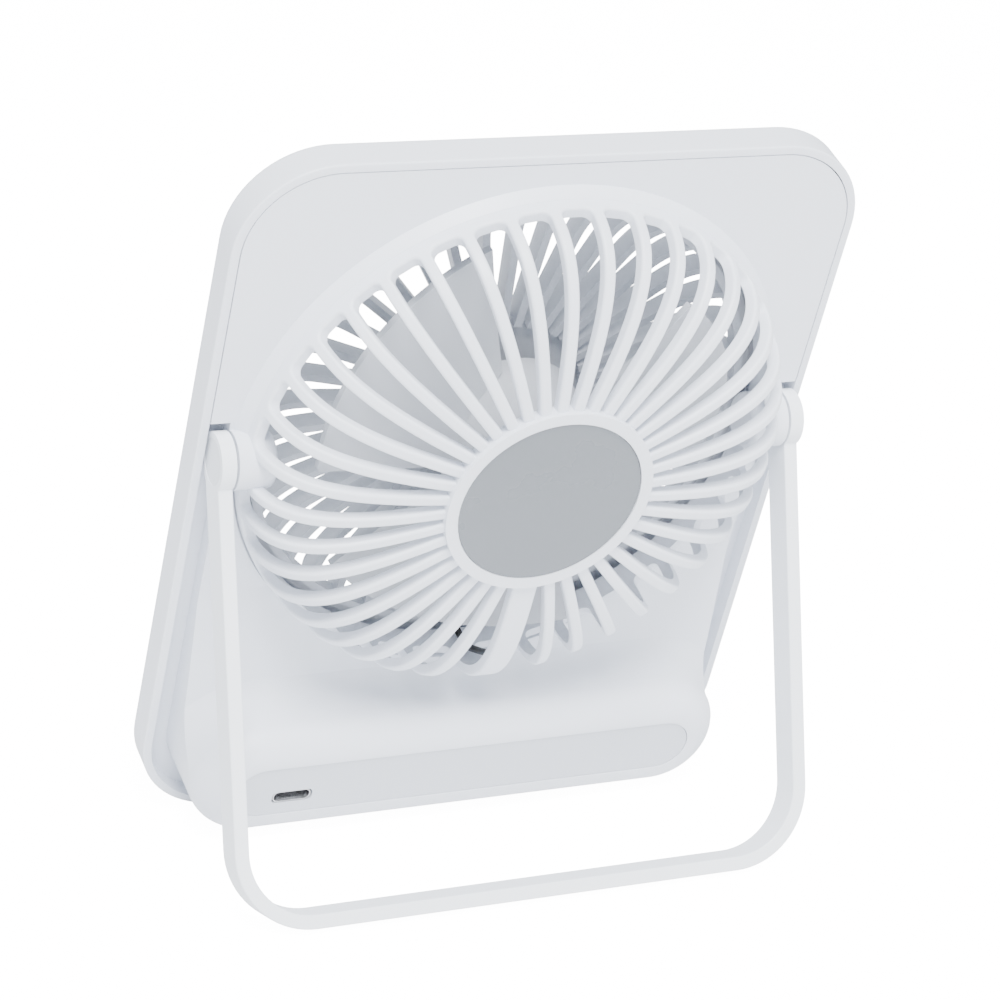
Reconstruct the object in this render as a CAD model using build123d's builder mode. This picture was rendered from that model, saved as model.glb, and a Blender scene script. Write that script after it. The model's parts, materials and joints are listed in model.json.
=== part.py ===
from build123d import *
import os
from math import atan2, cos, degrees, radians, sin

os.makedirs("parts", exist_ok=True)

# A rechargeable desk fan: a flat rounded housing with a domed rear guard, leaning back on a folding
# U-shaped stand. Everything is laid out on the body's own plane: local x to the right as seen from
# behind, local y up along the body, local z out of the back, zero at the rear rim.

# ---- driving dimensions (mm) ----
BODY_W = 141.0
BODY_H = 173.4
BODY_R = 21.0              # outline corner radius
BODY_D = 8.6               # depth of the front housing's side wall
RIM = 1.9                  # thickness of the side wall
FRONT_T = 2.0              # thickness of the front face
FRONT_ROUND = 1.5
RIM_ROUND = 0.4
COVER_GAP = 0.25           # groove between the rim and the rear cover
SKIN = 2.0                 # wall of the rear cover

CHANNEL_FLOOR = -4.0       # level of the stand channel's floor
LOWER_X = 64.0             # half width of the rear cover inside the stand channel
LOWER_Y = -80.0            # lower edge of the rear cover
CHANNEL_TOP = 24.0         # level where the channel ends, above the pivots
LOWER_R = 14.5
SKIRT_T = 1.6

BULGE_Y = -65.3            # centre line of the battery compartment
BULGE_R = 14.5             # half height and end radius of the compartment
BULGE_Z = 19.65
BULGE_ROUND = 7.4
CREASE_Y = -46.0           # where the gently rising plate meets the sweep
CREASE_Z = 3.6
RISE_Y = -22.0             # where the plate starts to rise

PANEL_X = 55.5             # half length of the compartment's end panel
PANEL_R = 6.9
PANEL_T = 1.3
PANEL_SINK = 0.2
PANEL_GAP = 0.12
LEDGE = 1.2

GRILLE_Y = 16.5            # height of the fan axis above the body's centre
DOME_R = 61.3
DOME_BASE = 2.8
DOME_TOP = 24.2
DOME_T = 2.4
WALL_Z = -2.6              # lower end of the guard's wall
RING_R = 63.4              # foot of the raised ring round the guard
RING_Z = 5.3               # lower end of the slots above the pivots
LOW_SLOT_Z = 3.0           # lower end of the slots below the pivots
FOOT_GAP = 0.45            # groove between the plate and the guard below the pivots
FOOT_DEPTH = 1.0
HUB_R = 23.4
HUB_RIM_Z = 25.2
DISC_R = 20.6
DISC_Z = 24.9
DISC_T = 0.9
RIB_COUNT = 40
RIB_W = 2.5
WIDE_RIB_W = 5.8
RIB_ROUND = 0.65           # rounding of the ribs' outer edges
SLOT_ROUND = 1.8           # rounding of the slots' outer ends
SLOT_STEP_R = 50.0
SLOT_STEP_Z = 10.0

FRONT_OPEN_R = 57.0
SLAT_T = 1.8               # thickness of the front grille's radial slats
SLAT_DEPTH = 4.5
SLAT_FLAT_R = 43.0         # radius where the slats turn back to their ring
FRONT_BULGE = -13.7        # foremost level of the front grille
FRONT_HUB_R = 21.5
FRONT_HUB_T = 2.5
FRONT_CAP_T = 1.4
GRILLE_STEP = 0.4          # the grille's ring lies this far behind the front face
GRILLE_BACK = -4.0
GRILLE_RING_T = 1.8
GRILLE_FLANGE = 2.2

BLADES = 3
BLADE_TIP = 49.0
BLADE_START = 20.5         # direction of the first blade's middle
BLADE_FROM = -35.0         # angles of a blade's edges from its middle
BLADE_TO = 35.0
BLADE_CORNER = 8.0
BLADE_T = 1.8
BLADE_Z = 5.4
SPREAD = 20.0              # half height of the cutting outline of a blade
CUP_R = 17.0
CUP_WALL = 2.5
CUP_IN = 13.8
CAN_R = 13.5
SHAFT_R = 1.5

PIVOT_Z = 3.0
BOSS_L = 8.7               # length of the bosses that carry the pivots
BOSS_ROUND = 1.5
EAR_R = 6.35
EAR_IN = 64.6              # inner face of the stand's arms
EAR_OUT = 67.8             # outer face of the stand's arms
STAND_T = EAR_OUT - EAR_IN
STAND_W = 8.0
STAND_R = 17.8
STAND_L = 100.3            # pivot axis to the outer face of the floor bar
STAND_SET = -1.1           # arms sit this far towards the body from the pivot axis
STAND_OPEN = 33.7          # angle of the arms to the body in the standing pose
STAND_ROUND = 0.4
SCREW_R = 2.0
SCREW_FIT = 0.06           # radial running clearance of the pivot screws
CAP_R = 4.95

USB_X = -41.8
USB_Y = -67.35
USB_W = 9.5
USB_H = 3.5
SHELL_W = 8.94
SHELL_H = 3.16

CELL_R = 9.1
CELL_L = 65.0
CELL_X = 14.0
CELL_Z = 7.6

BUTTON_Y = -66.0
BUTTON_R = 5.0
BUTTON_FIT = 0.2
BUTTON_FLANGE = 1.2
LENS_RISE = 11.0           # height of the indicator above the button
LENS_L = 10.0
SWITCH_Z = -4.3            # front of the switch's case
SWITCH_T = 0.9
SWITCH_W = 6.0
BOARD_T = 1.0
BOARD_W = 34.0
BOARD_H = 16.0
BOARD_RISE = 3.0           # the button's board is centred this far above the button

MOTOR_BASE_R = 15.5
MOTOR_TUBE_R = 4.2
BEARING_R = 3.0
BEARING_T = 2.5
MOTOR_SCREW_R = 1.0
MOTOR_SCREW_PITCH = 12.5   # radius of the circle the motor's screws sit on
SCREW_HEAD_T = 0.9
STATOR_T = 5.0
TEETH = 6
TOOTH_L = 5.2
TOOTH_W = 2.4
TOOTH_MID = 7.6
MAGNET_T = 1.3
CAN_T = 0.8
LEAD_R = 0.8               # radius of the motor's lead
LEAD_Y = -40.8             # where the lead drops through the guard's opening
LEAD_Z = -3.45

# ---- the standing pose ----
# The rear lower edge of the rim and the front lower edge of the floor bar both touch the floor, which
# sets the lean of the body.
arm_dir = (-cos(radians(STAND_OPEN)), sin(radians(STAND_OPEN)))
arm_out = (sin(radians(STAND_OPEN)), cos(radians(STAND_OPEN)))


def on_stand(along, out):
    """Body (y, z) of a point along the arms from the pivot axis and outwards from it."""
    y = GRILLE_Y + along * arm_dir[0] + out * arm_out[0]
    z = PIVOT_Z + along * arm_dir[1] + out * arm_out[1]
    return y, z


rim_edge = (-BODY_H / 2 + RIM_ROUND, -RIM_ROUND)
bar_front = on_stand(STAND_L - STAND_ROUND, STAND_SET - STAND_W / 2 + STAND_ROUND)
bar_back = on_stand(STAND_L - STAND_ROUND, STAND_SET + STAND_W / 2 - STAND_ROUND)
front_edge = (-BODY_H / 2 + FRONT_ROUND, -BODY_D + FRONT_ROUND)
LEAN = degrees(atan2(bar_front[0] - rim_edge[0], bar_front[1] - rim_edge[1]))
lean_sin = sin(radians(LEAN))
lean_cos = cos(radians(LEAN))
reach_back = bar_back[0] * lean_sin + bar_back[1] * lean_cos + STAND_ROUND
reach_front = front_edge[0] * lean_sin + front_edge[1] * lean_cos - FRONT_ROUND
BODY_Y = -(reach_back + reach_front) / 2
BODY_LIFT = -(rim_edge[0] * lean_cos - rim_edge[1] * lean_sin) + RIM_ROUND

BODY = Plane(origin=(0, BODY_Y, BODY_LIFT), x_dir=(-1, 0, 0), z_dir=(0, lean_cos, -lean_sin))


def level(z, x=0.0, y=0.0):
    """Plane parallel to the back of the body, z above the rim, with its origin at x, y."""
    return Plane(BODY.from_local_coords((x, y, z)), x_dir=BODY.x_dir, z_dir=BODY.z_dir)


def across(x, y=0.0, z=0.0):
    """Plane square to the body's x axis: its own axes run up the body and out of the back."""
    return Plane(BODY.from_local_coords((x, y, z)), x_dir=BODY.y_dir, z_dir=BODY.x_dir)


def meridian(y):
    """Plane through a front-to-back axis at height y: its own axes run right and out of the back."""
    return Plane(BODY.from_local_coords((0, y, 0)), x_dir=BODY.x_dir, z_dir=-BODY.y_dir)


def axis_at(x, y):
    """Front-to-back axis through x, y."""
    return Axis(BODY.from_local_coords((x, y, 0)), BODY.z_dir)


FAN_AXIS = axis_at(0, GRILLE_Y)
AXIS_RIGHT = Axis(BODY.origin, BODY.x_dir)
AXIS_BACK = Axis(BODY.origin, BODY.z_dir)
TOUCH = 0.001              # an edge nearer than this lies on a face
STAND = Plane(
    BODY.from_local_coords((0, GRILLE_Y, PIVOT_Z)),
    x_dir=BODY.x_dir,
    z_dir=BODY.y_dir * arm_out[0] + BODY.z_dir * arm_out[1],
)


def save(piece, name):
    """Label a finished piece and write it."""
    piece.label = name
    export_step(piece, f"parts/{name}.step")


def disc(name, z0, z1, r, x=0.0, y=GRILLE_Y, hole=0.0):
    """Round plate or ring between two levels."""
    with BuildPart() as piece:
        with BuildSketch(level(z0, x, y)):
            Circle(r)
            if hole:
                Circle(hole, mode=Mode.SUBTRACT)
        extrude(amount=z1 - z0)
    save(piece.part, name)


def block(name, z0, z1, w, h, x, y, r=0.0):
    """Flat block between two levels, with rounded corners if r is given."""
    with BuildPart() as piece:
        with BuildSketch(level(z0, x, y)):
            if r:
                RectangleRounded(w, h, r)
            else:
                Rectangle(w, h)
        extrude(amount=z1 - z0)
    save(piece.part, name)


def slot_tool(low, low_w, high, high_w, floor):
    """Solid between two ribs of the guard, given their angles and widths, from the floor upwards."""
    def between(near, far):
        corners = []
        for angle, offset, r in (
            (low, low_w / 2, near),
            (low, low_w / 2, far),
            (high, -high_w / 2, far),
            (high, -high_w / 2, near),
        ):
            a = radians(angle)
            corners.append((r * cos(a) - offset * sin(a), r * sin(a) + offset * cos(a)))
        return corners

    top = DOME_TOP + 8
    with BuildPart() as tool:
        with BuildSketch(level(floor, 0, GRILLE_Y)):
            with BuildLine():
                Polyline(*between(SLOT_STEP_R, DOME_R + 6), close=True)
            make_face()
        extrude(amount=top - floor)
        foot = tool.edges().group_by(AXIS_BACK)[0]
        fillet(foot.sort_by(SortBy.LENGTH)[-2:], SLOT_ROUND)
        with BuildSketch(level(SLOT_STEP_Z, 0, GRILLE_Y)):
            with BuildLine():
                Polyline(*between(HUB_R - 4, SLOT_STEP_R + 1), close=True)
            make_face()
        extrude(amount=top - SLOT_STEP_Z)
    return tool.part


# ---- front housing: shallow tray with the stand channel's floor ----
CHANNEL_SHELF = 1.5
shelf_in = LOWER_X - SKIRT_T - 1.5
with BuildPart() as front_housing:
    with BuildSketch(level(-BODY_D)):
        RectangleRounded(BODY_W, BODY_H, BODY_R)
    extrude(amount=BODY_D)
    fillet(front_housing.edges().group_by(AXIS_BACK)[0], FRONT_ROUND)
    fillet(front_housing.edges().group_by(AXIS_BACK)[-1], RIM_ROUND)
    with BuildSketch(level(FRONT_T - BODY_D)):
        RectangleRounded(BODY_W - 2 * RIM, BODY_H - 2 * RIM, BODY_R - RIM)
    extrude(amount=BODY_D, mode=Mode.SUBTRACT)
    # shelf under the stand channel, on an inner wall
    with BuildSketch(level(FRONT_T - BODY_D)):
        with Locations((0, (CHANNEL_TOP - BODY_H / 2) / 2)):
            Rectangle(BODY_W - 2 * RIM, CHANNEL_TOP + BODY_H / 2)
        RectangleRounded(BODY_W - RIM, BODY_H - RIM, BODY_R - RIM / 2, mode=Mode.INTERSECT)
        with Locations((0, (CHANNEL_TOP + 10 + LOWER_Y + LOWER_X - shelf_in) / 2)):
            RectangleRounded(
                2 * shelf_in,
                CHANNEL_TOP + 10 - LOWER_Y - (LOWER_X - shelf_in),
                LOWER_R - (LOWER_X - shelf_in),
                mode=Mode.SUBTRACT,
            )
        with Locations((0, CHANNEL_TOP)):
            Rectangle(2 * shelf_in, 60, mode=Mode.SUBTRACT)
    extrude(amount=CHANNEL_FLOOR - FRONT_T + BODY_D)
    with BuildSketch(level(-BODY_D, 0, GRILLE_Y)):
        Circle(FRONT_OPEN_R)
    extrude(amount=BODY_D, mode=Mode.SUBTRACT)
    with BuildSketch(level(-BODY_D, 0, BUTTON_Y)):
        Circle(BUTTON_R + BUTTON_FIT)
    extrude(amount=FRONT_T, mode=Mode.SUBTRACT)
    with BuildSketch(level(-BODY_D, 0, BUTTON_Y + LENS_RISE)):
        SlotCenterToCenter(LENS_L, 2)
    extrude(amount=FRONT_T, mode=Mode.SUBTRACT)
save(front_housing.part, "front_housing")

# ---- front grille: ring, bulging radial slats and hub ----
with BuildPart() as slat:
    ring_in = FRONT_OPEN_R - GRILLE_RING_T / 2
    ring_front = GRILLE_STEP - BODY_D
    slat_back = FRONT_BULGE + SLAT_DEPTH
    with BuildSketch(meridian(GRILLE_Y)):
        with BuildLine():
            Line((FRONT_HUB_R - 1, slat_back), (FRONT_HUB_R - 1, FRONT_BULGE))
            Line((FRONT_HUB_R - 1, FRONT_BULGE), (SLAT_FLAT_R, FRONT_BULGE))
            Bezier(
                (SLAT_FLAT_R, FRONT_BULGE),
                (SLAT_FLAT_R + 8, FRONT_BULGE),
                (ring_in, ring_front - 3),
                (ring_in, ring_front),
            )
            Line((ring_in, ring_front), (ring_in, GRILLE_BACK))
            Bezier(
                (ring_in, GRILLE_BACK),
                (ring_in - 3, GRILLE_BACK - 3),
                (SLAT_FLAT_R + 6, slat_back),
                (SLAT_FLAT_R, slat_back),
            )
            Line((SLAT_FLAT_R, slat_back), (FRONT_HUB_R - 1, slat_back))
        make_face()
    extrude(amount=SLAT_T / 2, both=True)

half_pitch = 180 / RIB_COUNT
slats = [slat.part.rotate(FAN_AXIS, half_pitch * (2 * i + 1)) for i in range(RIB_COUNT)]
with BuildPart() as front_grille:
    with BuildSketch(level(ring_front, 0, GRILLE_Y)):
        Circle(FRONT_OPEN_R)
        Circle(FRONT_OPEN_R - GRILLE_RING_T, mode=Mode.SUBTRACT)
    extrude(amount=GRILLE_BACK - ring_front)
    with BuildSketch(level(FRONT_T - BODY_D, 0, GRILLE_Y)):
        Circle(FRONT_OPEN_R + GRILLE_FLANGE)
        Circle(FRONT_OPEN_R - GRILLE_RING_T, mode=Mode.SUBTRACT)
    extrude(amount=1.2)
    with BuildSketch(level(FRONT_BULGE, 0, GRILLE_Y)):
        Circle(FRONT_HUB_R)
    extrude(amount=FRONT_HUB_T)
    add(slats)
    with BuildSketch(level(FRONT_BULGE, 0, GRILLE_Y)):
        Circle(FRONT_HUB_R - 1.0)
    extrude(amount=FRONT_CAP_T, mode=Mode.SUBTRACT)
save(front_grille.part, "front_grille")

disc("front_hub_cap", FRONT_BULGE, FRONT_BULGE + FRONT_CAP_T, FRONT_HUB_R - 1.1)

# ---- rear cover: plate, battery compartment, sweep, pivot bosses and domed guard ----
upper_x = BODY_W / 2 - RIM - COVER_GAP
upper_y = BODY_H / 2 - RIM - COVER_GAP
upper_r = BODY_R - RIM - COVER_GAP


def cover_outline(inset):
    """Outline of the rear cover: full width above the channel, narrower inside it."""
    with BuildSketch(Plane.XY) as outline:
        RectangleRounded(2 * upper_x - 2 * inset, 2 * upper_y - 2 * inset, upper_r - inset)
        with Locations((0, (upper_y + CHANNEL_TOP + inset) / 2)):
            Rectangle(BODY_W, upper_y - CHANNEL_TOP - inset, mode=Mode.INTERSECT)
        with Locations((0, (LOWER_Y + CHANNEL_TOP + 30) / 2)):
            RectangleRounded(
                2 * LOWER_X - 2 * inset, CHANNEL_TOP + 30 - LOWER_Y - 2 * inset, LOWER_R - inset
            )
    return outline.sketch


def sweep_section():
    """Section of the gently rising plate and the concave sweep up to the compartment's wall."""
    wall = BULGE_Y + BULGE_R
    with BuildLine(Plane.XY, mode=Mode.PRIVATE) as edge:
        Line((RISE_Y, 0), (CREASE_Y, CREASE_Z))
        Spline(
            (CREASE_Y, CREASE_Z),
            (wall, BULGE_Z - BULGE_ROUND),
            tangents=((-1.0, 0.45), (-0.15, 1.0)),
        )
        Line((wall, BULGE_Z - BULGE_ROUND), (wall - 2, BULGE_Z - BULGE_ROUND))
        Line((wall - 2, BULGE_Z - BULGE_ROUND), (wall - 2, -1))
        Line((wall - 2, -1), (RISE_Y, -1))
        Line((RISE_Y, -1), (RISE_Y, 0))
    return edge.line


def guard_profile(outer):
    """Half section of the domed guard from the hub to its foot, outside or inside."""
    t = 0 if outer else DOME_T
    return Bezier(
        (HUB_R - 2.5, DOME_TOP - t),
        (47 - 0.4 * t, DOME_TOP + 0.2 - t),
        (DOME_R - 0.7 - 0.9 * t, 20.5 - 0.9 * t),
        (DOME_R - t, DOME_BASE),
    )


def guard_sector(span, low_w, high_w, floor):
    """Wedge of the guard from the local x direction onwards, with one slot between its two ribs."""
    with BuildPart() as wedge:
        with BuildSketch(meridian(GRILLE_Y)):
            with BuildLine():
                guard_profile(True)
                Polyline((DOME_R, DOME_BASE), (DOME_R, WALL_Z), (DOME_R - DOME_T, WALL_Z))
                Line((DOME_R - DOME_T, WALL_Z), (DOME_R - DOME_T, DOME_BASE))
                guard_profile(False)
                Line((HUB_R - 2.5, DOME_TOP - DOME_T), (HUB_R - 2.5, DOME_TOP))
            make_face()
        revolve(axis=FAN_AXIS, revolution_arc=span)
        shell = wedge.faces().sort_by(SortBy.AREA)[-1]
        add(slot_tool(0, low_w, span, high_w, floor), mode=Mode.SUBTRACT)
        rims = [e for e in wedge.edges(Select.LAST) if shell.distance_to(e @ 0.5) < TOUCH]
        fillet(rims, RIB_ROUND)
    return wedge.part


def guard_sectors():
    """Every wedge of the guard: shorter slots above the pivots, wider wedges beside the wide rib."""
    pitch = 360 / RIB_COUNT
    upper = guard_sector(pitch, RIB_W, RIB_W, RING_Z)
    lower = guard_sector(pitch, RIB_W, RIB_W, LOW_SLOT_Z)
    before = guard_sector(1.5 * pitch, RIB_W, WIDE_RIB_W, LOW_SLOT_Z)
    after = guard_sector(1.5 * pitch, WIDE_RIB_W, RIB_W, LOW_SLOT_Z)
    wedges = [before.rotate(FAN_AXIS, 270 - 1.5 * pitch), after.rotate(FAN_AXIS, 270)]
    for i in range(RIB_COUNT):
        middle = pitch * i
        kind = upper if middle <= 180 else lower
        if abs(middle - 270) > 1.2 * pitch:
            wedges.append(kind.rotate(FAN_AXIS, middle - pitch / 2))
    return wedges


BULGE_END = LOWER_X - BULGE_R    # centre of the compartment's round ends
with BuildPart() as sweep_solid:
    with BuildSketch(across(-BULGE_END)):
        add(sweep_section())
        make_face()
    extrude(amount=2 * BULGE_END)
    for side in (-1, 1):
        with BuildSketch(across(side * BULGE_END)):
            add(sweep_section())
            make_face()
        revolve(axis=axis_at(side * BULGE_END, BULGE_Y), revolution_arc=-90 * side)
    with BuildSketch(level(-SKIN)):
        add(cover_outline(0))
    extrude(amount=BULGE_Z + SKIN, mode=Mode.INTERSECT)

with BuildPart() as guard:
    add(guard_sectors())
with BuildPart() as rear_cover:
    # plate and skirt
    with BuildSketch(level(-SKIN)):
        add(cover_outline(0))
    extrude(amount=SKIN)
    with BuildSketch(level(CHANNEL_FLOOR)):
        add(cover_outline(0))
        add(cover_outline(SKIRT_T), mode=Mode.SUBTRACT)
    extrude(amount=-SKIN - CHANNEL_FLOOR)
    # battery compartment
    with BuildSketch(level(-SKIN, 0, BULGE_Y)):
        SlotCenterToCenter(2 * BULGE_END, 2 * BULGE_R)
    extrude(amount=BULGE_Z + SKIN)
    fillet(rear_cover.edges().group_by(AXIS_BACK)[-1], BULGE_ROUND)
    add(sweep_solid.part)
    # opening behind the guard and the groove round it
    with BuildSketch(level(-SKIN - 3, 0, GRILLE_Y)):
        Circle(DOME_R - DOME_T / 2)
    extrude(amount=40, mode=Mode.SUBTRACT)
    with BuildSketch(level(-FOOT_DEPTH, 0, GRILLE_Y)):
        Circle(DOME_R + FOOT_GAP)
    extrude(amount=40, mode=Mode.SUBTRACT)
    # domed guard, with a raised foot above the pivots
    add(guard.part)
    with BuildSketch(meridian(GRILLE_Y)):
        with BuildLine():
            Polyline(
                (DOME_R - 1, DOME_BASE + 0.4),
                (DOME_R + 0.1, DOME_BASE - 0.2),
                (RING_R, -RIM_ROUND),
                (RING_R, -SKIN / 2),
                (DOME_R - 1, -SKIN / 2),
                close=True,
            )
        make_face()
    revolve(axis=FAN_AXIS, revolution_arc=180)
    # pivot bosses
    for side in (-1, 1):
        with BuildPart(mode=Mode.PRIVATE) as boss:
            with BuildSketch(across(side * LOWER_X, GRILLE_Y, PIVOT_Z)):
                Circle(EAR_R)
            extrude(amount=-side * BOSS_L)
            fillet(boss.edges().sort_by(AXIS_RIGHT)[0 if side > 0 else -1], BOSS_ROUND)
        add(boss.part)
    # hub: floor plate and rim round the disc
    with BuildSketch(level(DOME_TOP - DOME_T, 0, GRILLE_Y)):
        Circle(HUB_R)
    extrude(amount=DISC_Z - DISC_T - DOME_TOP + DOME_T)
    with BuildSketch(level(DOME_TOP - DOME_T, 0, GRILLE_Y)):
        Circle(HUB_R)
        Circle(DISC_R + 0.15, mode=Mode.SUBTRACT)
    extrude(amount=HUB_RIM_Z - DOME_TOP + DOME_T)
    # inside of the battery compartment
    with BuildSketch(level(CHANNEL_FLOOR - 1, 0, BULGE_Y)):
        SlotCenterToCenter(2 * BULGE_END, 2 * (BULGE_R - SKIN))
    extrude(amount=BULGE_Z - BULGE_ROUND - CHANNEL_FLOOR + 1, mode=Mode.SUBTRACT)
    with BuildSketch(level(CHANNEL_FLOOR, 0, BULGE_Y)):
        SlotCenterToCenter(2 * BULGE_END, 2 * (PANEL_R + 1))
    extrude(amount=BULGE_Z - SKIN - CHANNEL_FLOOR, mode=Mode.SUBTRACT)
    # seat of the end panel
    with BuildSketch(level(BULGE_Z - PANEL_SINK - PANEL_T, 0, BULGE_Y)):
        SlotCenterToCenter(2 * (PANEL_X - PANEL_R), 2 * PANEL_R)
    extrude(amount=PANEL_SINK + PANEL_T, mode=Mode.SUBTRACT)
    with BuildSketch(level(0, 0, BULGE_Y)):
        SlotCenterToCenter(2 * (PANEL_X - PANEL_R), 2 * (PANEL_R - LEDGE))
    extrude(amount=BULGE_Z, mode=Mode.SUBTRACT)
    # screw holes of the pivots
    with BuildSketch(across(-LOWER_X - 1, GRILLE_Y, PIVOT_Z)):
        Circle(SCREW_R)
    extrude(amount=9, mode=Mode.SUBTRACT)
    with BuildSketch(across(LOWER_X + 1, GRILLE_Y, PIVOT_Z)):
        Circle(SCREW_R)
    extrude(amount=-9, mode=Mode.SUBTRACT)
save(rear_cover.part, "rear_cover")
disc("hub_disc", DISC_Z - DISC_T, DISC_Z, DISC_R)

# ---- end panel of the battery compartment ----
panel_back = BULGE_Z - PANEL_SINK - PANEL_T
with BuildPart() as battery_panel:
    with BuildSketch(level(panel_back, 0, BULGE_Y)):
        SlotCenterToCenter(2 * (PANEL_X - PANEL_R), 2 * (PANEL_R - PANEL_GAP))
    extrude(amount=PANEL_T)
    with BuildSketch(level(panel_back, USB_X, USB_Y)):
        RectangleRounded(USB_W, USB_H, USB_H / 2 - 0.45)
    extrude(amount=PANEL_T, mode=Mode.SUBTRACT)
save(battery_panel.part, "battery_panel")

# ---- charging socket: metal shell, contact tongue and its board ----
USB_BACK = 12.0
with BuildPart() as usb_shell:
    with BuildSketch(level(USB_BACK, USB_X, USB_Y)):
        RectangleRounded(SHELL_W, SHELL_H, SHELL_H / 2 - 0.1)
        RectangleRounded(SHELL_W - 0.6, SHELL_H - 0.6, SHELL_H / 2 - 0.4, mode=Mode.SUBTRACT)
    extrude(amount=BULGE_Z - 0.5 - USB_BACK)
    with BuildSketch(level(USB_BACK, USB_X, USB_Y)):
        RectangleRounded(SHELL_W - 0.6, SHELL_H - 0.6, SHELL_H / 2 - 0.4)
    extrude(amount=0.8)
save(usb_shell.part, "usb_shell")
block("usb_tongue", USB_BACK + 0.8, USB_BACK + 5.6, 6.7, 0.7, USB_X, USB_Y)
block("charge_board", USB_BACK - 1.2, USB_BACK, 24, 13, USB_X, USB_Y + 1.5)
block("charge_chip", USB_BACK - 2.4, USB_BACK - 1.2, 5, 4, USB_X + 3, USB_Y + 2)

# ---- battery ----
with BuildPart() as battery_cell:
    with BuildSketch(across(CELL_X - CELL_L / 2, BULGE_Y, CELL_Z)):
        Circle(CELL_R)
    extrude(amount=CELL_L)
    fillet(battery_cell.edges().filter_by(GeomType.CIRCLE), 0.8)
save(battery_cell.part, "battery_cell")
for name, side in (("battery_clip_left", -1), ("battery_clip_right", 1)):
    face = CELL_X + side * CELL_L / 2
    with BuildPart() as clip:
        with BuildSketch(across(face, BULGE_Y, CELL_Z)):
            RectangleRounded(15, 12.5, 1.5)
        extrude(amount=side * 1.4)
    save(clip.part, name)

# ---- power button, its board and switch ----
BUTTON_FRONT = -BODY_D - 0.5
BUTTON_BACK = -5.4
SWITCH_TOP = -4.9
with BuildPart() as power_button:
    with BuildSketch(level(BUTTON_FRONT, 0, BUTTON_Y)):
        Circle(BUTTON_R)
    extrude(amount=BUTTON_BACK - BUTTON_FRONT)
    fillet(power_button.edges().group_by(AXIS_BACK)[0], 0.4)
    with BuildSketch(level(BUTTON_BACK - 0.9, 0, BUTTON_Y)):
        Circle(BUTTON_R + BUTTON_FLANGE)
    extrude(amount=0.9)
save(power_button.part, "power_button")
switch_back = SWITCH_Z + SWITCH_T
board_y = BUTTON_Y + BOARD_RISE
disc("switch_plunger", SWITCH_TOP, SWITCH_Z, 1.4, 0, BUTTON_Y)
block("tact_switch", SWITCH_Z, switch_back, SWITCH_W, SWITCH_W, 0, BUTTON_Y)
block("button_board", switch_back, switch_back + BOARD_T, BOARD_W, BOARD_H, 0, board_y)
with BuildPart() as indicator_lens:
    with BuildSketch(level(-BODY_D, 0, BUTTON_Y + LENS_RISE)):
        SlotCenterToCenter(LENS_L, 1.8)
    extrude(amount=FRONT_T + 0.6)
save(indicator_lens.part, "indicator_lens")

# ---- motor, hung from the floor of the guard's hub ----
HUB_FLOOR = DOME_TOP - DOME_T
BASE_T = 2.0
base_front = HUB_FLOOR - BASE_T
TUBE_FRONT = 9.2
with BuildPart() as motor_base:
    with BuildSketch(level(base_front, 0, GRILLE_Y)):
        Circle(MOTOR_BASE_R)
    extrude(amount=BASE_T)
    with BuildSketch(level(TUBE_FRONT, 0, GRILLE_Y)):
        Circle(MOTOR_TUBE_R)
    extrude(amount=base_front - TUBE_FRONT)
    with BuildSketch(level(TUBE_FRONT, 0, GRILLE_Y)):
        Circle(BEARING_R)
    extrude(amount=HUB_FLOOR - TUBE_FRONT, mode=Mode.SUBTRACT)
    with BuildSketch(level(base_front, 0, GRILLE_Y)):
        with PolarLocations(MOTOR_SCREW_PITCH, 3):
            Circle(MOTOR_SCREW_R)
    extrude(amount=BASE_T, mode=Mode.SUBTRACT)
save(motor_base.part, "motor_base")
with BuildPart() as motor_screws:
    with BuildSketch(level(base_front, 0, GRILLE_Y)):
        with PolarLocations(MOTOR_SCREW_PITCH, 3):
            Circle(MOTOR_SCREW_R)
    extrude(amount=BASE_T)
    with BuildSketch(level(base_front - SCREW_HEAD_T, 0, GRILLE_Y)):
        with PolarLocations(MOTOR_SCREW_PITCH, 3):
            Circle(MOTOR_SCREW_R + 0.9)
    extrude(amount=SCREW_HEAD_T)
save(motor_screws.part, "motor_screws")
for name, front in (("bearing_front", TUBE_FRONT), ("bearing_back", HUB_FLOOR - BEARING_T - 0.5)):
    disc(name, front, front + BEARING_T, BEARING_R, hole=SHAFT_R + 0.05)
STATOR_Z = 11.6
with BuildPart() as stator_core:
    with BuildSketch(level(STATOR_Z, 0, GRILLE_Y)):
        Circle(6.0)
        with PolarLocations(TOOTH_MID, TEETH):
            Rectangle(TOOTH_L, TOOTH_W)
        with PolarLocations(0, TEETH):
            with Locations((10.2, 0)):
                Rectangle(1.2, 5.6)
        Circle(MOTOR_TUBE_R, mode=Mode.SUBTRACT)
    extrude(amount=STATOR_T)
save(stator_core.part, "stator_core")
with BuildPart() as stator_coils:
    with BuildSketch(level(STATOR_Z - 0.8, 0, GRILLE_Y)):
        with PolarLocations(TOOTH_MID + 0.5, TEETH):
            Rectangle(3.0, 2 * TOOTH_W)
    extrude(amount=STATOR_T + 1.6)
    with BuildSketch(level(STATOR_Z, 0, GRILLE_Y)):
        with PolarLocations(TOOTH_MID, TEETH):
            Rectangle(TOOTH_L, TOOTH_W)
    extrude(amount=STATOR_T, mode=Mode.SUBTRACT)
save(stator_coils.part, "stator_coils")
disc("motor_board", base_front - 1.9, base_front - SCREW_HEAD_T, 10.8, hole=MOTOR_TUBE_R)

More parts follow.
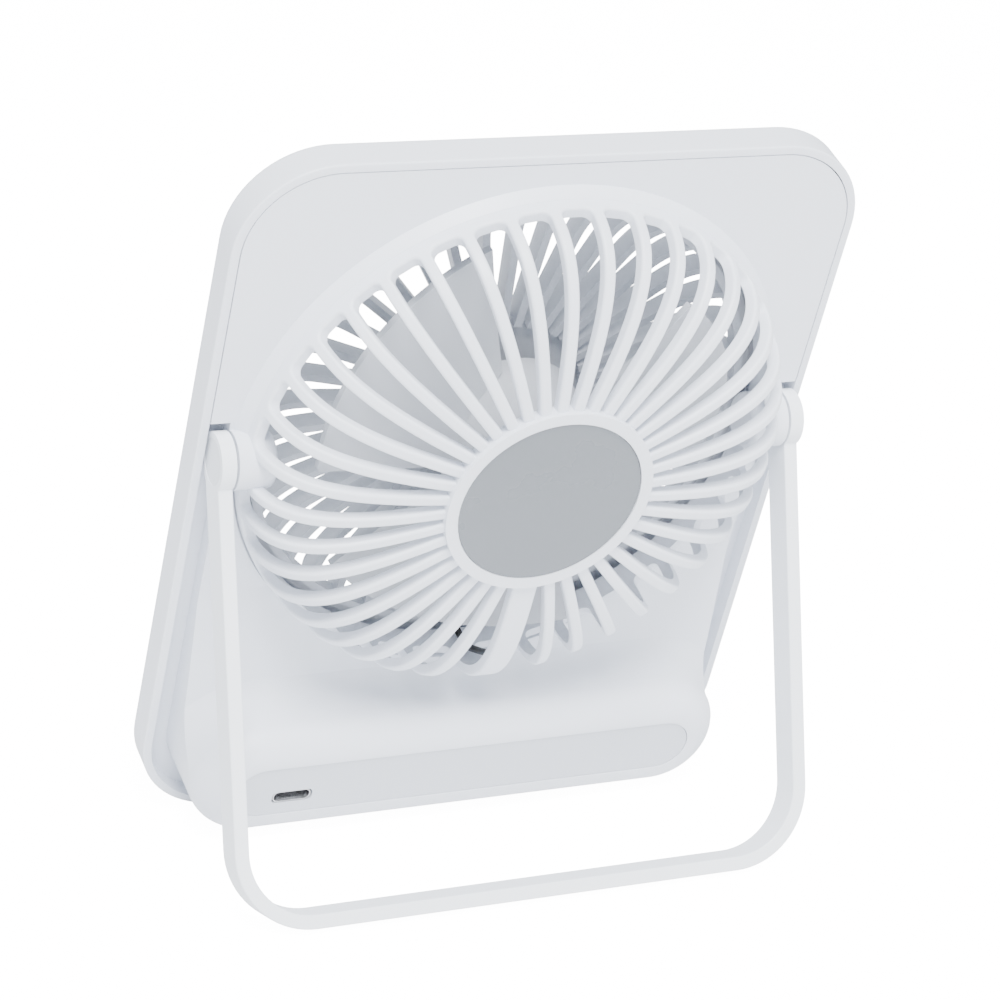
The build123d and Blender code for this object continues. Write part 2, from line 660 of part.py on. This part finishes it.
# ---- rotor: can, magnet, shaft and impeller ----
CAN_FRONT = 7.2
CAN_BACK = 17.6
with BuildPart() as rotor_can:
    with BuildSketch(level(CAN_FRONT, 0, GRILLE_Y)):
        Circle(CAN_R)
    extrude(amount=CAN_BACK - CAN_FRONT)
    with BuildSketch(level(CAN_FRONT + 0.9, 0, GRILLE_Y)):
        Circle(CAN_R - CAN_T)
    extrude(amount=CAN_BACK, mode=Mode.SUBTRACT)
    with BuildSketch(level(CAN_FRONT, 0, GRILLE_Y)):
        Circle(SHAFT_R)
    extrude(amount=2, mode=Mode.SUBTRACT)
save(rotor_can.part, "rotor_can")
disc("magnet_ring", CAN_FRONT + 2.4, CAN_BACK - 0.2, CAN_R - CAN_T, hole=CAN_R - CAN_T - MAGNET_T)
disc("motor_shaft", CAN_FRONT - 1.2, HUB_FLOOR - 0.6, SHAFT_R)

CUP_FRONT = -3.0
CUP_BACK = 17.0
CUP_WEB = 2.0
# distance from the axis, half width and pitch of a blade's sections
BLADE_SECTIONS = ((CUP_R - 2, 12, 28), (CUP_R + 13, 24, 19), (CUP_R + 24, 31, 14), (CUP_R + 36, 34, 11))
with BuildPart() as blade:
    for reach, half, pitch in BLADE_SECTIONS:
        foot = BODY.from_local_coords((reach, GRILLE_Y, BLADE_Z))
        chord = BODY.y_dir.rotate(Axis((0, 0, 0), BODY.x_dir), pitch)
        with BuildSketch(Plane(foot, x_dir=chord, z_dir=BODY.x_dir)):
            Rectangle(2 * half, BLADE_T)
    loft()
    # outline of the blade seen along the axis
    with BuildSketch(level(-SPREAD, 0, GRILLE_Y)) as outline:
        with BuildLine():
            low, high = radians(BLADE_FROM), radians(BLADE_TO)
            low_tip = (BLADE_TIP * cos(low), BLADE_TIP * sin(low))
            high_tip = (BLADE_TIP * cos(high), BLADE_TIP * sin(high))
            ThreePointArc(low_tip, (BLADE_TIP, 0), high_tip)
            Polyline(high_tip, (CUP_R - 4, CUP_R / 2), (CUP_R - 4, -CUP_R / 2), low_tip)
        make_face()
        tips = outline.vertices().sort_by(AXIS_RIGHT)[-2:]
        fillet(tips, BLADE_CORNER)
    extrude(amount=2 * SPREAD, mode=Mode.INTERSECT)

turns = [BLADE_START + 360 / BLADES * i for i in range(BLADES)]
with BuildPart() as impeller:
    with BuildSketch(level(CUP_FRONT, 0, GRILLE_Y)):
        Circle(CUP_R)
    extrude(amount=CUP_BACK - CUP_FRONT)
    add([blade.part.rotate(FAN_AXIS, turn) for turn in turns])
    with BuildSketch(level(CAN_FRONT, 0, GRILLE_Y)):
        Circle(CUP_IN - 0.3)
    extrude(amount=CUP_BACK, mode=Mode.SUBTRACT)
    with BuildSketch(level(CUP_FRONT, 0, GRILLE_Y)):
        Circle(CUP_R - CUP_WALL)
    extrude(amount=CAN_FRONT - CUP_WEB - CUP_FRONT, mode=Mode.SUBTRACT)
    with BuildSketch(level(CAN_FRONT - 1.2, 0, GRILLE_Y)):
        Circle(SHAFT_R)
    extrude(amount=2, mode=Mode.SUBTRACT)
save(impeller.part, "impeller")

# ---- leads: motor to button board behind the wide rib, battery to charge board ----
with BuildPart() as motor_lead:
    with BuildLine(across(0)) as route:
        FilletPolyline(
            (GRILLE_Y - 11, 18.7),
            (-2, 18.7),
            (-8, 20.2),
            (-22, 20.2),
            (-34, 15.6),
            (LEAD_Y, 5.5),
            (LEAD_Y, LEAD_Z),
            (BUTTON_Y + BOARD_RISE + BOARD_H / 2 + 0.1, LEAD_Z),
            radius=2.5,
        )
    with BuildSketch(Plane(route.line @ 0, z_dir=route.line % 0)):
        Circle(LEAD_R)
    sweep()
save(motor_lead.part, "motor_lead")
with BuildPart() as battery_lead:
    with BuildSketch(across(USB_X + 12, BULGE_Y + 3.3, USB_BACK - 0.6)):
        Circle(0.55)
    extrude(amount=CELL_X - CELL_L / 2 - 1.4 - USB_X - 12)
save(battery_lead.part, "battery_lead")

# ---- stand: flat U-shaped strip with round ears ----
CAP_SINK = 0.7
HEAD_R = 3.4
HEAD_T = 1.15
HEAD_SEAT = EAR_IN + 1.2
with BuildPart() as stand:
    with BuildSketch(STAND.offset(STAND_SET - STAND_W / 2)):
        RectangleRounded(2 * EAR_OUT, 2 * STAND_L, STAND_R)
        RectangleRounded(2 * EAR_IN, 2 * (STAND_L - STAND_T), STAND_R - STAND_T, mode=Mode.SUBTRACT)
        with Locations((0, STAND_L)):
            Rectangle(2 * BODY_W, 2 * STAND_L, mode=Mode.SUBTRACT)
    extrude(amount=STAND_W)
    fillet(stand.edges().filter_by(GeomType.CIRCLE), STAND_ROUND)
    for side in (-1, 1):
        with BuildSketch(across(side * EAR_IN, GRILLE_Y, PIVOT_Z)):
            Circle(EAR_R)
        extrude(amount=side * STAND_T)
        with BuildSketch(across(side * EAR_IN, GRILLE_Y, PIVOT_Z)):
            Circle(SCREW_R + SCREW_FIT)
        extrude(amount=side * STAND_T, mode=Mode.SUBTRACT)
        with BuildSketch(across(side * HEAD_SEAT, GRILLE_Y, PIVOT_Z)):
            Circle(HEAD_R + 0.15)
        extrude(amount=side * STAND_T, mode=Mode.SUBTRACT)
        with BuildSketch(across(side * (EAR_OUT - CAP_SINK), GRILLE_Y, PIVOT_Z)):
            Circle(CAP_R + 0.05)
        extrude(amount=side * STAND_T, mode=Mode.SUBTRACT)
save(stand.part, "stand")

for name, side in (("left", -1), ("right", 1)):
    with BuildPart() as pivot_screw:
        with BuildSketch(across(side * (LOWER_X - 8), GRILLE_Y, PIVOT_Z)):
            Circle(SCREW_R)
        extrude(amount=side * (HEAD_SEAT + 0.05 - LOWER_X + 8))
        with BuildSketch(across(side * (HEAD_SEAT + 0.05), GRILLE_Y, PIVOT_Z)):
            Circle(HEAD_R)
            RegularPolygon(1.2, 6, mode=Mode.SUBTRACT)
        extrude(amount=side * HEAD_T)
    save(pivot_screw.part, f"pivot_screw_{name}")
    with BuildPart() as washer:
        with BuildSketch(across(side * LOWER_X, GRILLE_Y, PIVOT_Z)):
            Circle(4.5)
            Circle(SCREW_R, mode=Mode.SUBTRACT)
        extrude(amount=side * 0.5)
    save(washer.part, f"pivot_washer_{name}")
    with BuildPart() as cap:
        with BuildSketch(across(side * (EAR_OUT - CAP_SINK), GRILLE_Y, PIVOT_Z)):
            Circle(CAP_R)
        extrude(amount=side * (CAP_SINK - 0.1))
    save(cap.part, f"pivot_cap_{name}")
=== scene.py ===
import bpy
import json
from math import cos, radians, sin
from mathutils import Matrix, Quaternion, Vector

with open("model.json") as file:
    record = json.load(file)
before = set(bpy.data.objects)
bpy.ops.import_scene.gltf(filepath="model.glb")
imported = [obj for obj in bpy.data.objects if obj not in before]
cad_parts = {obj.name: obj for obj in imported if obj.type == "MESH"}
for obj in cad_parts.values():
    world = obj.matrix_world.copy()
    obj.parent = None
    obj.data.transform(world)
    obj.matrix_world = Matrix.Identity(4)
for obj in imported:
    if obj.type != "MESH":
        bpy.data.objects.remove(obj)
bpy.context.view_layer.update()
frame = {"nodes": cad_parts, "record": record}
nodes = frame["nodes"]

# ---- camera: behind the fan, to its left, looking slightly down ----
AIM = Vector((-0.0013, -0.0011, 0.0807))
CAMERA_AZIMUTH = 154.55
CAMERA_ELEVATION = 21.46
CAMERA_ROLL = 4.93
CAMERA_DISTANCE = 0.7157
LENS_MM = 118.24


def add_camera():
    """Camera at the studied angle, rolled a little about its own axis."""
    azimuth, elevation = radians(CAMERA_AZIMUTH), radians(CAMERA_ELEVATION)
    away = Vector(
        (sin(azimuth) * cos(elevation), -cos(azimuth) * cos(elevation), sin(elevation))
    )
    data = bpy.data.cameras.new("camera")
    data.lens = LENS_MM
    data.sensor_width = 36.0
    data.clip_start = 0.01
    camera = bpy.data.objects.new("camera", data)
    bpy.context.scene.collection.objects.link(camera)
    camera.location = AIM + away * CAMERA_DISTANCE
    turn = (-away).to_track_quat("-Z", "Y") @ Quaternion((0, 0, 1), radians(CAMERA_ROLL))
    camera.rotation_euler = turn.to_euler()
    bpy.context.scene.camera = camera


# ---- studio values ----
WORLD_LIGHT = 1.35         # strength of the sky's light
SEEN_WHITE = 14.0          # strength of the floor and the sky where the camera sees them
SKY = (0.88, 0.935, 1, 1)
FLOOR_HALF = 6.0           # half the floor's side (m)
# name, place (m), size (m), power (W)
LAMPS = (
    ("key", (0.35, 1.1, 1.7), 0.8, 98),
    ("side", (-1.4, 0.9, 0.5), 0.8, 10),
)

# ---- finish values: noise scales are features per metre, heights are metres ----
NOISE_LOW, NOISE_HIGH = 0.3, 0.7    # the part of the noise that is spread over a range
GRAIN = 0.000012           # height of the moulding grain
GRAIN_SCALE = 2600.0
DRIFT_SCALE = 14.0         # slow drift of a plastic's colour
SATIN_SCALE = 60.0         # patches of a plastic's roughness
SATIN_SPREAD = 0.05
PLASTIC_IOR = 1.46
GLOW_RADIUS = 0.004
GLOW_SCALE = 0.6
TARNISH_SCALE = 180.0
TARNISH = 0.82             # share of the colour left where metal is tarnished
BRUSH_SCALE = 900.0
BRUSH_HEIGHT = 0.000006
BRUSH_SMOOTHER, BRUSH_ROUGHER = 0.08, 0.1


# ---- node helpers ----
def new_material(name):
    """Empty node material with its principled shader."""
    material = bpy.data.materials.new(name)
    material.use_nodes = True
    return material, material.node_tree, material.node_tree.nodes["Principled BSDF"]


def link(tree, source, target):
    tree.links.new(source, target)


def noise(tree, scale, detail=3.0, stretch=None):
    """Noise in object space."""
    coords = tree.nodes.new("ShaderNodeTexCoord")
    texture = tree.nodes.new("ShaderNodeTexNoise")
    texture.inputs["Scale"].default_value = scale
    texture.inputs["Detail"].default_value = detail
    source = coords.outputs["Object"]
    if stretch:
        mapping = tree.nodes.new("ShaderNodeMapping")
        mapping.inputs["Scale"].default_value = stretch
        link(tree, source, mapping.inputs["Vector"])
        source = mapping.outputs["Vector"]
    link(tree, source, texture.inputs["Vector"])
    return texture.outputs["Fac"]


def spread(tree, factor, low, high):
    """Maps a texture onto a range of values."""
    node = tree.nodes.new("ShaderNodeMapRange")
    node.inputs["From Min"].default_value = NOISE_LOW
    node.inputs["From Max"].default_value = NOISE_HIGH
    node.inputs["To Min"].default_value = low
    node.inputs["To Max"].default_value = high
    link(tree, factor, node.inputs["Value"])
    return node.outputs["Result"]


def tint(tree, factor, dark, light):
    """Mixes two colours by a texture."""
    node = tree.nodes.new("ShaderNodeMix")
    node.data_type = "RGBA"
    node.inputs["A"].default_value = (*dark, 1)
    node.inputs["B"].default_value = (*light, 1)
    link(tree, factor, node.inputs["Factor"])
    return node.outputs["Result"]


def bump(tree, height, distance):
    """Bump of a real height in metres."""
    node = tree.nodes.new("ShaderNodeBump")
    node.inputs["Distance"].default_value = distance
    link(tree, height, node.inputs["Height"])
    return node.outputs["Normal"]


def moulded(name, colour, rough, grain, vary, glow):
    """Moulded plastic: faint colour drift, uneven satin and a fine spark-eroded grain."""
    material, tree, shader = new_material(name)
    drift = noise(tree, DRIFT_SCALE, 2.0)
    dark = tuple(max(0.0, c * (1 - vary)) for c in colour)
    light = tuple(min(1.0, c * (1 + vary * 0.5)) for c in colour)
    link(tree, tint(tree, drift, dark, light), shader.inputs["Base Color"])
    satin = noise(tree, SATIN_SCALE, 4.0)
    uneven = spread(tree, satin, rough - SATIN_SPREAD, rough + SATIN_SPREAD)
    link(tree, uneven, shader.inputs["Roughness"])
    link(tree, bump(tree, noise(tree, GRAIN_SCALE, 2.0), grain), shader.inputs["Normal"])
    shader.inputs["IOR"].default_value = PLASTIC_IOR
    if glow:
        shader.inputs["Subsurface Weight"].default_value = glow
        shader.inputs["Subsurface Radius"].default_value = (GLOW_RADIUS,) * 3
        shader.inputs["Subsurface Scale"].default_value = GLOW_SCALE
    return material


def metal(name, colour, rough, brush):
    """Metal with a brushed or ground finish and slight tarnish."""
    material, tree, shader = new_material(name)
    tarnish = noise(tree, TARNISH_SCALE, 4.0)
    dark = tuple(c * TARNISH for c in colour)
    link(tree, tint(tree, tarnish, dark, colour), shader.inputs["Base Color"])
    shader.inputs["Metallic"].default_value = 1.0
    lines = noise(tree, BRUSH_SCALE, 2.0, brush)
    uneven = spread(tree, lines, rough - BRUSH_SMOOTHER, rough + BRUSH_ROUGHER)
    link(tree, uneven, shader.inputs["Roughness"])
    link(tree, bump(tree, lines, BRUSH_HEIGHT), shader.inputs["Normal"])
    return material


# colour, roughness, grain height (m), share of colour drift, subsurface weight
MOULDED = {
    "shell_white": ((0.79, 0.82, 0.885), 0.42, GRAIN, 0.02, 0.15),
    "stand_white": ((0.89, 0.92, 0.965), 0.40, GRAIN, 0.02, 0.0),
    "panel_white": ((0.62, 0.65, 0.705), 0.48, 2 * GRAIN, 0.02, 0.0),
    # grille: white plastic given a dark grey, which is painted shade for the shadow the slats
    # sit in
    "grille_white": ((0.56, 0.585, 0.635), 0.40, GRAIN, 0.02, 0.0),
    "cap_white": ((0.79, 0.82, 0.865), 0.40, GRAIN, 0.02, 0.0),
    "button_white": ((0.82, 0.83, 0.85), 0.38, GRAIN, 0.02, 0.0),
    "tongue_white": ((0.62, 0.63, 0.65), 0.50, GRAIN, 0.02, 0.0),
    "hub_grey": ((0.185, 0.20, 0.22), 0.30, GRAIN / 4, 0.14, 0.0),
    # blades: colour set to the dark grey they show inside the guard, which is painted shade
    "blade_grey": ((0.50, 0.52, 0.555), 0.35, GRAIN / 3, 0.03, 0.2),
    "washer_nylon": ((0.72, 0.71, 0.68), 0.50, GRAIN, 0.02, 0.0),
    "chip_black": ((0.025, 0.025, 0.028), 0.55, 2 * GRAIN, 0.02, 0.0),
    "clip_black": ((0.03, 0.03, 0.032), 0.50, GRAIN, 0.02, 0.0),
    "lead_black": ((0.02, 0.02, 0.02), 0.45, GRAIN, 0.10, 0.0),
    "board_green": ((0.02, 0.16, 0.07), 0.30, GRAIN, 0.15, 0.0),
    "cell_sleeve": ((0.03, 0.15, 0.38), 0.30, GRAIN / 3, 0.06, 0.0),
}
# colour, roughness, stretch of the brushed lines
METALS = {
    "steel": ((0.58, 0.58, 0.59), 0.30, (1, 12, 1)),
    "bearing_steel": ((0.70, 0.70, 0.71), 0.16, (1, 1, 1)),
    "core_steel": ((0.28, 0.28, 0.29), 0.42, (1, 1, 14)),
    "magnet_grey": ((0.12, 0.12, 0.125), 0.50, (1, 1, 1)),
    "copper": ((0.75, 0.36, 0.16), 0.32, (1, 16, 1)),
}


def frosted(name):
    """Clear plastic with a frosted, slightly cloudy surface."""
    material, tree, shader = new_material(name)
    link(tree, spread(tree, noise(tree, 800.0), 0.25, 0.4), shader.inputs["Roughness"])
    cloud = tint(tree, noise(tree, 200.0), (0.8, 0.83, 0.85), (0.92, 0.94, 0.95))
    link(tree, cloud, shader.inputs["Base Color"])
    shader.inputs["Transmission Weight"].default_value = 0.6
    return material


def make_materials():
    """One procedural material for each of the record's slots."""
    made = {name: moulded(name, *values) for name, values in MOULDED.items()}
    made.update({name: metal(name, *values) for name, values in METALS.items()})
    made["lens_clear"] = frosted("lens_clear")
    return made


def dress_nodes(made):
    """Gives every CAD node the material of its slot."""
    for part in frame["record"]["subparts"]:
        node = nodes[part["node"]]
        material = made[part["material_slot"]]
        if not node.material_slots:
            node.data.materials.append(material)
        for place in node.material_slots:
            place.material = material


# ---- studio ----
def stage_plane(name, corners, material):
    """A flat piece of the stage, which isn't part of the object."""
    mesh = bpy.data.meshes.new(name)
    mesh.from_pydata(corners, [], [(0, 1, 2, 3)])
    plane = bpy.data.objects.new(name, mesh)
    bpy.context.scene.collection.objects.link(plane)
    mesh.materials.append(material)


def seen_white(tree, strength, otherwise):
    """Studio only: white where the camera sees it, another strength for the light it gives."""
    path = tree.nodes.new("ShaderNodeLightPath")
    choose = tree.nodes.new("ShaderNodeMapRange")
    choose.inputs["To Min"].default_value = otherwise
    choose.inputs["To Max"].default_value = SEEN_WHITE
    link(tree, path.outputs["Is Camera Ray"], choose.inputs["Value"])
    link(tree, choose.outputs["Result"], strength)


def add_studio():
    """Pale floor, pale surroundings and large soft lights."""
    paper = moulded("paper", (0.98, 0.98, 0.98), 0.9, GRAIN, 0.004, 0.0)
    shader = paper.node_tree.nodes["Principled BSDF"]
    shader.inputs["Emission Color"].default_value = (1, 1, 1, 1)
    seen_white(paper.node_tree, shader.inputs["Emission Strength"], 0.0)
    edge = FLOOR_HALF
    corners = [(-edge, -edge, 0), (edge, -edge, 0), (edge, edge, 0), (-edge, edge, 0)]
    stage_plane("floor", corners, paper)
    world = bpy.data.worlds.new("studio")
    world.use_nodes = True
    sky = world.node_tree.nodes["Background"]
    sky.inputs["Color"].default_value = SKY
    seen_white(world.node_tree, sky.inputs["Strength"], WORLD_LIGHT)
    bpy.context.scene.world = world
    for name, place, size, power in LAMPS:
        data = bpy.data.lights.new(name, "AREA")
        data.size = size
        data.energy = power
        lamp = bpy.data.objects.new(name, data)
        bpy.context.scene.collection.objects.link(lamp)
        lamp.location = place
        lamp.rotation_euler = (AIM - lamp.location).to_track_quat("-Z", "Y").to_euler()


add_camera()
dress_nodes(make_materials())
add_studio()
